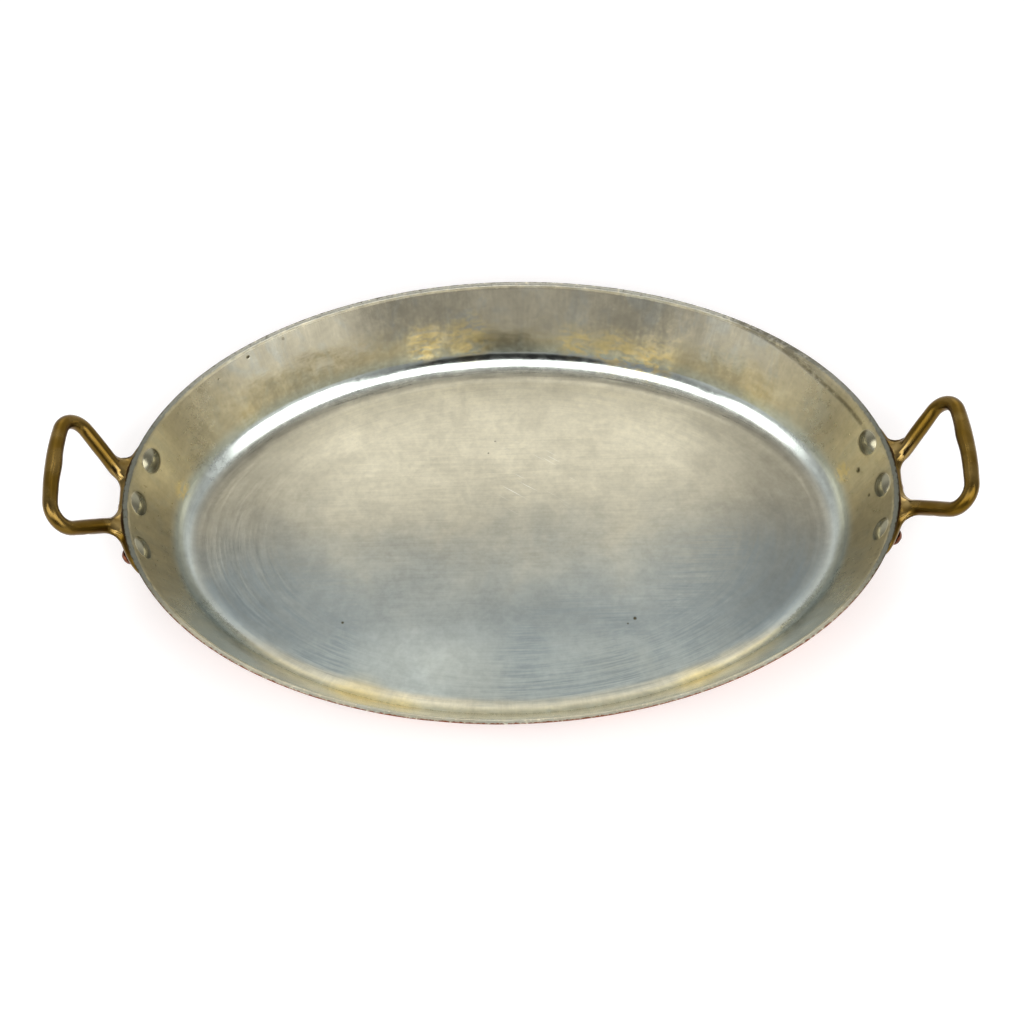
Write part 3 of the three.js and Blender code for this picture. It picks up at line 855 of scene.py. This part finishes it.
def loop_rings(wall, grown, shift, bulge, lean):
    """The rings of the loop, from one foot over the grip to the other, its roots thicker by what is grown.

    The loop's own irregularities are how far the grip is shifted along, where it bulges inwards, and how
    far its front and its back corner stick out more than they should.
    """
    handle = bpy.context.scene.pan_handle
    foot_drop, foot_diameter = 16 * MM, 4 * MM
    root_bend, bend, step, sides = 9 * MM, 11 * MM, 1.6 * MM, 24
    lump_height, lump_length = 0.8 * MM, 7 * MM
    legs = []
    for side, out in zip((-1, 1), lean):
        turn = wall.turn_along(side * handle.leg_span / 2 + shift / 2)
        normal = wall.face(turn)
        low = wall.top - foot_drop
        foot = wall.place(turn, wall.inset(low), low)
        foot += normal * (handle.seat + handle.flange_thickness - foot_diameter / 2)
        passing = wall.place(turn, 0, wall.top) + normal * handle.leg_stand_off
        corner = Vector((
            wall.a + handle.reach + out, side * handle.grip_span / 2 + shift, wall.top + handle.rise
        ))
        legs.append((foot, passing, corner))
    (near_foot, near_pass, near_corner), (far_foot, far_pass, far_corner) = legs
    rise = (near_corner - near_pass)
    rise.y = 0
    rise.normalize()
    middle = (near_corner + far_corner) / 2 + rise * handle.grip_bow
    near_turn = math.pi - (near_pass - near_corner).angle(middle - near_corner)
    middle_turn = math.pi - (near_corner - middle).angle(far_corner - middle)
    bow_run = (near_corner - middle).length - bend * math.tan(near_turn / 2) - 2 * MM
    bow = bow_run / math.tan(middle_turn / 2)
    corners = [near_foot, near_pass, near_corner, middle, far_corner, far_pass, far_foot]
    points = bent_path(corners, [root_bend, bend, bow, bend, root_bend], step)
    square = rise.cross(Vector((0, 1, 0)))
    rings = []
    for i, centre in enumerate(points):
        along = (points[min(i + 1, len(points) - 1)] - points[max(i - 1, 0)]).normalized()
        across = along.cross(square).normalized()
        through = across.cross(along)
        foot = smoothstep(near_foot.z, wall.top, centre.z)
        risen = min(1, max(0, (centre.z - wall.top) / handle.rise))
        leg = handle.root_diameter + (handle.leg_diameter - handle.root_diameter) * risen
        leg = foot_diameter + (leg - foot_diameter) * foot
        from_middle = (centre.y - shift) / (handle.grip_span / 2)
        swell = smoothstep(0, 1, risen) * max(0, 1 - from_middle ** 2)
        radius = (leg + (handle.grip_diameter - leg) * swell) / 2
        radius += grown * (1 - smoothstep(wall.top + 8 * MM, wall.top + 16 * MM, centre.z))
        lump = lump_height * math.exp(-((centre.y - shift - bulge) / lump_length) ** 2) * risen
        ring = []
        for k in range(sides):
            turn = k / sides * 2 * math.pi
            spoke = across * math.cos(turn) + through * math.sin(turn)
            ring.append(centre + spoke * (radius + lump * max(0, -spoke.x)))
        rings.append(ring)
    return rings, (near_pass, far_pass)


def flange_section(along, sides):
    """The flange's section at a distance along the wall: pairs of distance up the wall and off it."""
    handle = bpy.context.scene.pan_handle
    ear, tip, swell, swell_length = 22 * MM, 1.2 * MM, 3.2 * MM, 8.5 * MM
    into = max(0, abs(along) - handle.flange_length / 2 + ear) / ear
    share = math.sqrt(max(0, 1 - into ** 2))
    from_leg = (abs(along) - handle.leg_span / 2) / swell_length
    thickness = handle.flange_end + (handle.flange_thickness - handle.flange_end) * share
    thickness += swell * math.exp(-from_leg ** 2)
    section = []
    for k in range(sides + 1):
        turn = k / sides * math.pi
        across = math.cos(turn)
        full = handle.flange_rise if across > 0 else handle.flange_fall
        reach = tip + (full - tip) * share
        section.append(Vector((reach * across, handle.seat + thickness * max(0.0, math.sin(turn)) ** 0.5)))
    return section


def grown_section(section, grow):
    """A closed section, its points in turn round it, moved out by a distance, with round corners."""
    moved = []
    for k, point in enumerate(section):
        before, after = section[k - 1], section[(k + 1) % len(section)]
        first, last = ((end - start).normalized() for start, end in ((before, point), (point, after)))
        turn = math.atan2(first.x * last.y - first.y * last.x, first.dot(last))
        steps = 6 if k in (0, len(section) - 1) else 1
        for i in range(steps):
            bend = turn * ((i + 0.5) / steps)
            way = Vector((first.x * math.cos(bend) - first.y * math.sin(bend),
                          first.x * math.sin(bend) + first.y * math.cos(bend)))
            moved.append(point + Vector((way.y, -way.x)) * grow)
    return moved


def flange_rings(wall, grown):
    """Sections of the flange along the wall, thicker all round by what is grown."""
    half = bpy.context.scene.pan_handle.flange_length / 2
    steps, sides = 90, 16
    rings = []
    for i in range(steps + 1):
        along = (2 * i / steps - 1) * (half + grown)
        past = max(0, abs(along) - half)
        grow = math.sqrt(max(0, grown ** 2 - past ** 2))
        section = grown_section(flange_section(max(-half, min(half, along)), sides), grow)
        turn = wall.turn_along(along)
        slope = wall.outwards(turn) * math.sin(wall.flare) + UP * math.cos(wall.flare)
        normal = wall.face(turn)
        stand = wall.place(turn, wall.inset(wall.rivet_height), wall.rivet_height)
        rings.append([stand + slope * point.x + normal * point.y for point in section])
    return rings


def cast_in_one(work, name, voxel):
    """The single casting that overlapping closed shapes make, as a fine even mesh."""
    rough = placed(name, work)
    remesh = rough.modifiers.new("cast", "REMESH")
    remesh.mode = "VOXEL"
    remesh.voxel_size = voxel
    ready = rough.evaluated_get(bpy.context.evaluated_depsgraph_get())
    casting = bmesh.new()
    casting.from_mesh(ready.to_mesh())
    ready.to_mesh_clear()
    mesh = rough.data
    bpy.data.objects.remove(rough)
    bpy.data.meshes.remove(mesh)
    return casting


def relax(work, passes):
    for _ in range(passes):
        bmesh.ops.smooth_vert(
            work, verts=work.verts, factor=0.5, use_axis_x=True, use_axis_y=True, use_axis_z=True
        )
    work.normal_update()


def handles():
    """Both handles: flange and loop cast in one.

    Flange and roots are made thicker by the fillet's radius, joined, and thinned again, which leaves a
    hollow of that radius between them. Higher up, the loop keeps its own skin.
    """
    wall = Wall()
    finish = cast_brass()
    rivet = bpy.context.scene.pan_rivet
    fillet = bpy.context.scene.pan_handle.fillet
    off_face, voxel = 6 * MM, 0.75 * MM
    rivet_places = [wall.on(place, 0, off_face) for place in (-rivet.spacing, 0, rivet.spacing)]
    rivet_edge = rivet.set_head / 2 + 0.6 * MM
    for side, end, shift, bulge, lean in (
        ("right", Matrix.Identity(4), -1.0 * MM, 6 * MM, (0.3 * MM, -0.4 * MM)),
        ("left", HALF_TURN, -1.6 * MM, 1 * MM, (-0.6 * MM, 0.3 * MM)),
    ):
        loop = bmesh.new()
        draw_through(loop, loop_rings(wall, 0, shift, bulge, lean)[0])
        loop_skin = BVHTree.FromBMesh(loop)
        loop.free()
        work = bmesh.new()
        rings, roots = loop_rings(wall, fillet, shift, bulge, lean)
        draw_through(work, rings)
        draw_through(work, flange_rings(wall, fillet))
        bmesh.ops.recalc_face_normals(work, faces=work.faces[:])
        work = cast_in_one(work, f"handle_{side}", voxel)
        relax(work, 5)
        thinned = []
        for vert in work.verts:
            high = smoothstep(wall.top + 5 * MM, wall.top + 8 * MM, vert.co.z)
            point = vert.co - vert.normal * fillet
            if high:
                point = point.lerp(loop_skin.find_nearest(vert.co)[0], high)
            thinned.append(point)
        for vert, point in zip(work.verts, thinned):
            vert.co = point
        relax(work, 3)
        grime = work.verts.layers.float.new("grime")
        polish = work.verts.layers.float.new("polish")
        # Grime, with painted shade, in the gap at the wall, inside the roots and round the rivets; polish,
        # with painted highlight, on the up-facing roots and grip
        for vert in work.verts:
            point = vert.co.copy()
            turn = math.atan2(point.y * wall.a, point.x * wall.b)
            foot = wall.place(turn, wall.inset(min(point.z, wall.top)), min(point.z, wall.top))
            off_wall = (point - foot).length
            in_gap = 1 - smoothstep(0.6 * MM, 2.2 * MM, off_wall)
            from_root = min((point - root).length for root in roots)
            root = 1 - smoothstep(2 * MM, 9 * MM, from_root)
            ring = min(abs((point - place).length - rivet_edge) for place in rivet_places)
            around = 1 - smoothstep(0.4 * MM, 2.2 * MM, ring)
            inwards = max(0, -vert.normal.x)
            # Painted shade as well as dirt: darker in the gap at the wall, inside the roots and round the
            # rivets
            vert[grime] = min(1, in_gap + 0.45 * root * inwards + 0.7 * around)
            # Painted highlight: polish is strongest on the up-facing shoulders of the roots and on top of the
            # grip
            shoulder = 1 - smoothstep(3 * MM, 13 * MM, from_root)
            crown = smoothstep(wall.top + 12 * MM, wall.top + 26 * MM, point.z) * max(0, vert.normal.z)
            vert[polish] = min(1, 0.08 + 0.85 * shoulder * max(0, vert.normal.z) + 0.12 * crown)
            swell = 0.14 * MM * (noise.noise(point / (14 * MM)) - 0.6)
            vert.co += vert.normal * (swell + 0.02 * MM * noise.noise(point / (4 * MM)))
        bmesh.ops.transform(work, matrix=end, verts=work.verts)
        node = f"handle_{side}"
        piece = shown(node + "_cast", work, finish)
        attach(piece, "root")
        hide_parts(node)


# Stage

WHITE = linear("ffffff")


def white_floor():
    """A white table top that the camera and the metal see as white, and that keeps the pan's shadow."""
    studio = bpy.context.scene.pan_studio
    finish, add = new_finish("white_table")
    paths = add("ShaderNodeLightPath").node.outputs
    seen = paths["Is Camera Ray"]
    for path in ("Is Glossy Ray", "Is Transmission Ray"):
        seen = add(MOST, [seen, paths[path]])
    lift = add(TIMES, [seen, studio.table_lift])
    card = add("ShaderNodeBsdfDiffuse", {"Color": studio.table})
    glow = add("ShaderNodeEmission", {"Color": WHITE, "Strength": lift})
    add("ShaderNodeOutputMaterial", {"Surface": add("ShaderNodeAddShader", [card, glow])})
    return finish


def towards(azimuth, elevation):
    """The way from the pan at these angles in degrees. Azimuth 0 is the camera's side, and 90 the right."""
    az, el = math.radians(azimuth), math.radians(elevation)
    return Vector((math.sin(az) * math.cos(el), -math.cos(az) * math.cos(el), math.sin(el)))


# Brighter and darker parts of the room: azimuth and elevation in degrees, radii, and what they add
ROOM_PARTS = ((0, 26, 14, 16.5, -0.34), (180, 61, 3, 6, -0.5), (180, 28, 8, 22, 1.3),
              (0, 90, 8, 20, -0.16), (40, 4, 8, 22, 0.5), (-50, 4, 12, 26, 0.3), (-4, 6, 4, 12, 0.08))


def room_light():
    """The room: white to the camera, a white sweep behind the pan, and darker where the camera stands."""
    world = bpy.data.worlds.new("room")
    bpy.context.scene.world = world
    world.use_nodes = True
    world.node_tree.nodes.clear()
    add = adder(world.node_tree)
    studio = bpy.context.scene.pan_studio
    way = add("ShaderNodeTexCoord", out="Generated")
    back = add(AXES, [way], "Y")
    level = add(RANGE, [back, 0.1, 0.66, studio.room, studio.sweep])
    for azimuth, elevation, inner, outer, strength in ROOM_PARTS:
        aim = towards(azimuth, elevation)
        near = add(("ShaderNodeVectorMath", {"operation": "DOT_PRODUCT"}), [way, aim], "Value")
        cosines = [math.cos(math.radians(radius)) for radius in (outer, inner)]
        level = add(PLUS, [level, add(RANGE, [near, *cosines, 0.0, strength])])
    seen = add("ShaderNodeLightPath", out="Is Camera Ray")
    strength = add(MIX, {0: seen, 2: level, 3: 1.0})
    glow = add("ShaderNodeBackground", {"Color": WHITE, "Strength": strength})
    add("ShaderNodeOutputWorld", {"Surface": glow})


def softbox(name, azimuth, elevation, width, height, radiance):
    """An area lamp that faces the pan."""
    distance = 1.3
    way = towards(azimuth, elevation)
    lamp = bpy.data.lights.new(name, "AREA")
    lamp.shape = "RECTANGLE"
    lamp.size = width
    lamp.size_y = height
    lamp.energy = radiance * math.pi * width * height
    body = bpy.data.objects.new(name, lamp)
    bpy.context.scene.collection.objects.link(body)
    body.location = way * distance
    body.rotation_euler = way.to_track_quat("Z", "Y").to_euler()
    body.visible_camera = False


def camera():
    """A camera where the photograph was taken from."""
    studio = bpy.context.scene.pan_studio
    yaw, roll = math.radians(0.106), math.radians(1.366)
    aim = Vector((0.49 * MM, 13.83 * MM, 0))
    upright = Matrix.Rotation(-yaw, 3, "Z")
    tilt = Matrix.Rotation(math.pi / 2 - studio.camera_height, 3, "X")
    axes = upright @ tilt @ Matrix.Rotation(-roll, 3, "Z")
    lens = bpy.data.cameras.new("camera")
    lens.lens = 64.9
    lens.sensor_width = 36
    lens.clip_start = 0.01
    body = bpy.data.objects.new("camera", lens)
    bpy.context.scene.collection.objects.link(body)
    stand = upright @ (aim + tilt @ UP * studio.camera_distance)
    body.matrix_world = Matrix.Translation(stand) @ axes.to_4x4()
    bpy.context.scene.camera = body


def stage():
    scene = bpy.context.scene
    scene.view_settings.view_transform = "Standard"
    table_radius, table_drop = 6, 0.15 * MM
    work = bmesh.new()
    bmesh.ops.create_circle(work, cap_ends=True, radius=table_radius, segments=64)
    bmesh.ops.translate(work, verts=work.verts, vec=(0, 0, -table_drop))
    floor = placed("white_table", work)
    floor.data.materials.append(white_floor())
    power = scene.pan_studio.softbox
    softbox("softbox_left", -60, 44, 0.66, 0.85, power)
    softbox("softbox_right", 46, 41, 0.85, 1.0, power)
    softbox("softbox_top", -8, 52, 1.0, 0.6, power)
    softbox("strip_back_left", 163, 62, 0.24, 0.11, power)
    softbox("strip_back_right", -149, 57, 0.24, 0.14, power)
    room_light()
    camera()


# Operators and panel

class PAN_OT_copper_body(bpy.types.Operator):
    """Raise the copper body"""

    bl_idname = "pan.copper_body"
    bl_label = "Copper body"

    def execute(self, context):
        copper_body()
        return {"FINISHED"}


class PAN_OT_tin_lining(bpy.types.Operator):
    """Wipe the inside with tin"""

    bl_idname = "pan.tin_lining"
    bl_label = "Tin lining"

    def execute(self, context):
        tin_lining()
        return {"FINISHED"}


class PAN_OT_handles(bpy.types.Operator):
    """Cast both handles"""

    bl_idname = "pan.handles"
    bl_label = "Handles"

    def execute(self, context):
        handles()
        return {"FINISHED"}


class PAN_OT_rivets(bpy.types.Operator):
    """Set the rivets"""

    bl_idname = "pan.rivets"
    bl_label = "Rivets"

    def execute(self, context):
        rivets()
        return {"FINISHED"}


class PAN_OT_stage(bpy.types.Operator):
    """Lay the table and set the lamps and the camera"""

    bl_idname = "pan.stage"
    bl_label = "Stage"

    def execute(self, context):
        stage()
        return {"FINISHED"}


OPERATORS = (PAN_OT_copper_body, PAN_OT_tin_lining, PAN_OT_handles, PAN_OT_rivets, PAN_OT_stage)
GROUPS = {
    "pan_shape": PanShape,
    "pan_rivet": PanRivet,
    "pan_handle": PanHandle,
    "pan_finish": PanFinish,
    "pan_studio": PanStudio,
}


class PAN_PT_sidebar(bpy.types.Panel):
    """The pan's sizes, colours and pieces"""

    bl_idname = "PAN_PT_sidebar"
    bl_label = "Oval gratin pan"
    bl_space_type = "VIEW_3D"
    bl_region_type = "UI"
    bl_category = "Pan"

    def draw(self, context):
        for name, group in GROUPS.items():
            box = self.layout.box()
            box.label(text=group.__doc__)
            for field in group.__annotations__:
                box.prop(getattr(context.scene, name), field)
        for operator in OPERATORS:
            self.layout.operator(operator.bl_idname)


CLASSES = (*GROUPS.values(), *OPERATORS, PAN_PT_sidebar)


def register():
    for item in CLASSES:
        bpy.utils.register_class(item)
    for name, group in GROUPS.items():
        setattr(bpy.types.Scene, name, PointerProperty(type=group))


def unregister():
    for name in GROUPS:
        delattr(bpy.types.Scene, name)
    for item in reversed(CLASSES):
        bpy.utils.unregister_class(item)


def main():
    register()
    bpy.ops.pan.copper_body()
    bpy.ops.pan.tin_lining()
    bpy.ops.pan.handles()
    bpy.ops.pan.rivets()
    bpy.ops.pan.stage()


if __name__ == "__main__":
    main()
